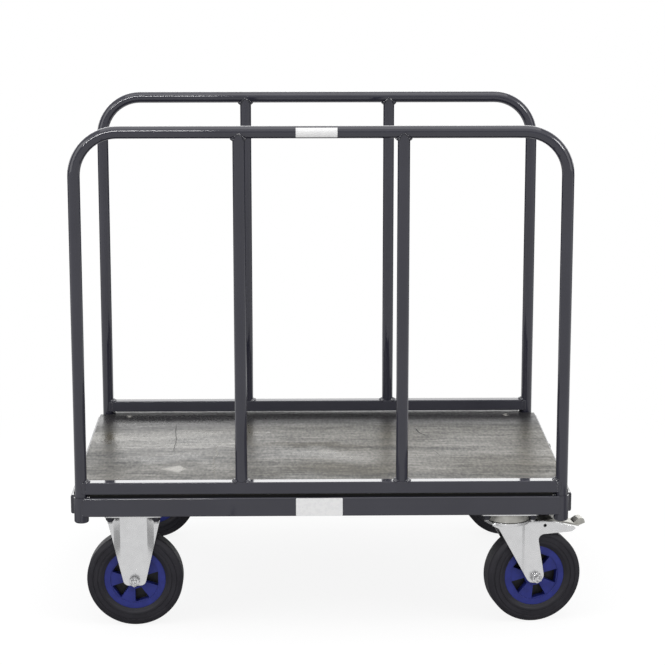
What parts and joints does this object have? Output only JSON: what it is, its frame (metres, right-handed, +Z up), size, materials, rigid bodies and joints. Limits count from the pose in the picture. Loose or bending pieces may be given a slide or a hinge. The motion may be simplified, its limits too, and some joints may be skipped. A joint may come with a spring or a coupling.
{
  "type": "platform truck",
  "caption": "Platform truck with a board deck on a steel chassis, lift-out tube sides along both long edges, fixed castors at one end and braked swivel castors at the other.",
  "frame": {"origin": "on the floor under the middle of the four sockets", "axes": "+X along the truck towards the swivel castors, +Y across it, +Z up"},
  "size_m": [1.071, 0.731, 1.048],
  "materials": {
    "frame_paint": "semi-gloss dark blue-grey powder coat",
    "deck_board": "semi-gloss grey film-faced board with a fine grain",
    "zinc_steel": "bright zinc plate, satin",
    "pedal_zinc": "dull zinc plate",
    "dark_steel": "black finish",
    "bearing_steel": "ground steel",
    "tyre_rubber": "matt black rubber",
    "wheel_plastic": "satin dark blue moulding",
    "blank_plate": "bare white"
  },
  "bodies": {
    "chassis": {"castor_bolts": "zinc_steel", "castor_cross_rails": "frame_paint", "castor_nuts": "dark_steel", "centre_cross_rail": "frame_paint", "chassis_plate": "blank_plate", "deck": "deck_board", "deck_screws": "zinc_steel", "fixed_axle_bolts": "zinc_steel", "fixed_axle_nuts": "zinc_steel", "fixed_axle_sleeves": "bearing_steel", "front_left_fork": "zinc_steel", "front_left_socket": "frame_paint", "front_rail": "frame_paint", "front_right_socket": "frame_paint", "front_right_top_plate": "zinc_steel", "kingpins": "zinc_steel", "left_end_rail": "frame_paint", "lower_race_cups": "zinc_steel", "race_balls": "bearing_steel", "rear_left_fork": "zinc_steel", "rear_left_socket": "frame_paint", "rear_rail": "frame_paint", "rear_right_socket": "frame_paint", "rear_right_top_plate": "zinc_steel", "right_end_rail": "frame_paint", "upper_race_cups": "zinc_steel"},
    "front_hoop": {"front_hoop_tube": "frame_paint", "front_lower_rail": "frame_paint", "front_posts": "frame_paint", "hoop_label": "blank_plate"},
    "rear_hoop": {"rear_hoop_tube": "frame_paint", "rear_lower_rail": "frame_paint", "rear_posts": "frame_paint"},
    "front_left_wheel": {"front_left_tyre": "tyre_rubber", "front_left_wheel_centre": "wheel_plastic", "front_left_roller_bearing": "bearing_steel"},
    "rear_left_wheel": {"rear_left_tyre": "tyre_rubber", "rear_left_wheel_centre": "wheel_plastic", "rear_left_roller_bearing": "bearing_steel"},
    "front_right_wheel": {"front_right_tyre": "tyre_rubber", "front_right_wheel_centre": "wheel_plastic", "front_right_roller_bearing": "bearing_steel"},
    "rear_right_wheel": {"rear_right_tyre": "tyre_rubber", "rear_right_wheel_centre": "wheel_plastic", "rear_right_roller_bearing": "bearing_steel"},
    "front_right_swivel": {"front_right_fork": "zinc_steel", "front_right_axle_bolt": "zinc_steel", "front_right_axle_nut": "zinc_steel", "front_right_axle_sleeve": "bearing_steel", "front_right_brake_pin": "zinc_steel", "front_right_brake_spring": "zinc_steel"},
    "front_right_brake": {"front_right_brake_lever": "pedal_zinc"},
    "rear_right_swivel": {"rear_right_fork": "zinc_steel", "rear_right_axle_bolt": "zinc_steel", "rear_right_axle_nut": "zinc_steel", "rear_right_axle_sleeve": "bearing_steel", "rear_right_brake_pin": "zinc_steel", "rear_right_brake_spring": "zinc_steel"},
    "rear_right_brake": {"rear_right_brake_lever": "pedal_zinc"}
  },
  "joints": [
    {"name": "front_hoop_lift", "type": "slide", "parent": "chassis", "child": "front_hoop", "axis": [0, 0, 1], "range_m": [0, 0.06]},
    {"name": "rear_hoop_lift", "type": "slide", "parent": "chassis", "child": "rear_hoop", "axis": [0, 0, 1], "range_m": [0, 0.06]},
    {"name": "front_left_wheel_spin", "type": "hinge", "parent": "chassis", "child": "front_left_wheel", "pos_m": [-0.389, -0.31, 0.1], "axis": [0, 1, 0], "continuous": true},
    {"name": "rear_left_wheel_spin", "type": "hinge", "parent": "chassis", "child": "rear_left_wheel", "pos_m": [-0.389, 0.31, 0.1], "axis": [0, 1, 0], "continuous": true},
    {"name": "front_right_swivel_turn", "type": "hinge", "parent": "chassis", "child": "front_right_swivel", "pos_m": [0.389, -0.31, 0.22], "axis": [0, 0, 1], "continuous": true},
    {"name": "front_right_wheel_spin", "type": "hinge", "parent": "front_right_swivel", "child": "front_right_wheel", "pos_m": [0.44218, -0.30062, 0.1], "axis": [-0.1736, 0.9848, 0], "continuous": true},
    {"name": "front_right_brake_press", "type": "hinge", "parent": "front_right_swivel", "child": "front_right_brake", "pos_m": [0.4604, -0.29741, 0.2106], "axis": [-0.1736, 0.9848, 0], "range_deg": [0, 12]},
    {"name": "rear_right_swivel_turn", "type": "hinge", "parent": "chassis", "child": "rear_right_swivel", "pos_m": [0.389, 0.31, 0.22], "axis": [0, 0, 1], "continuous": true},
    {"name": "rear_right_wheel_spin", "type": "hinge", "parent": "rear_right_swivel", "child": "rear_right_wheel", "pos_m": [0.44218, 0.31938, 0.1], "axis": [-0.1736, 0.9848, 0], "continuous": true},
    {"name": "rear_right_brake_press", "type": "hinge", "parent": "rear_right_swivel", "child": "rear_right_brake", "pos_m": [0.4604, 0.32259, 0.2106], "axis": [-0.1736, 0.9848, 0], "range_deg": [0, 12]}
  ]
}
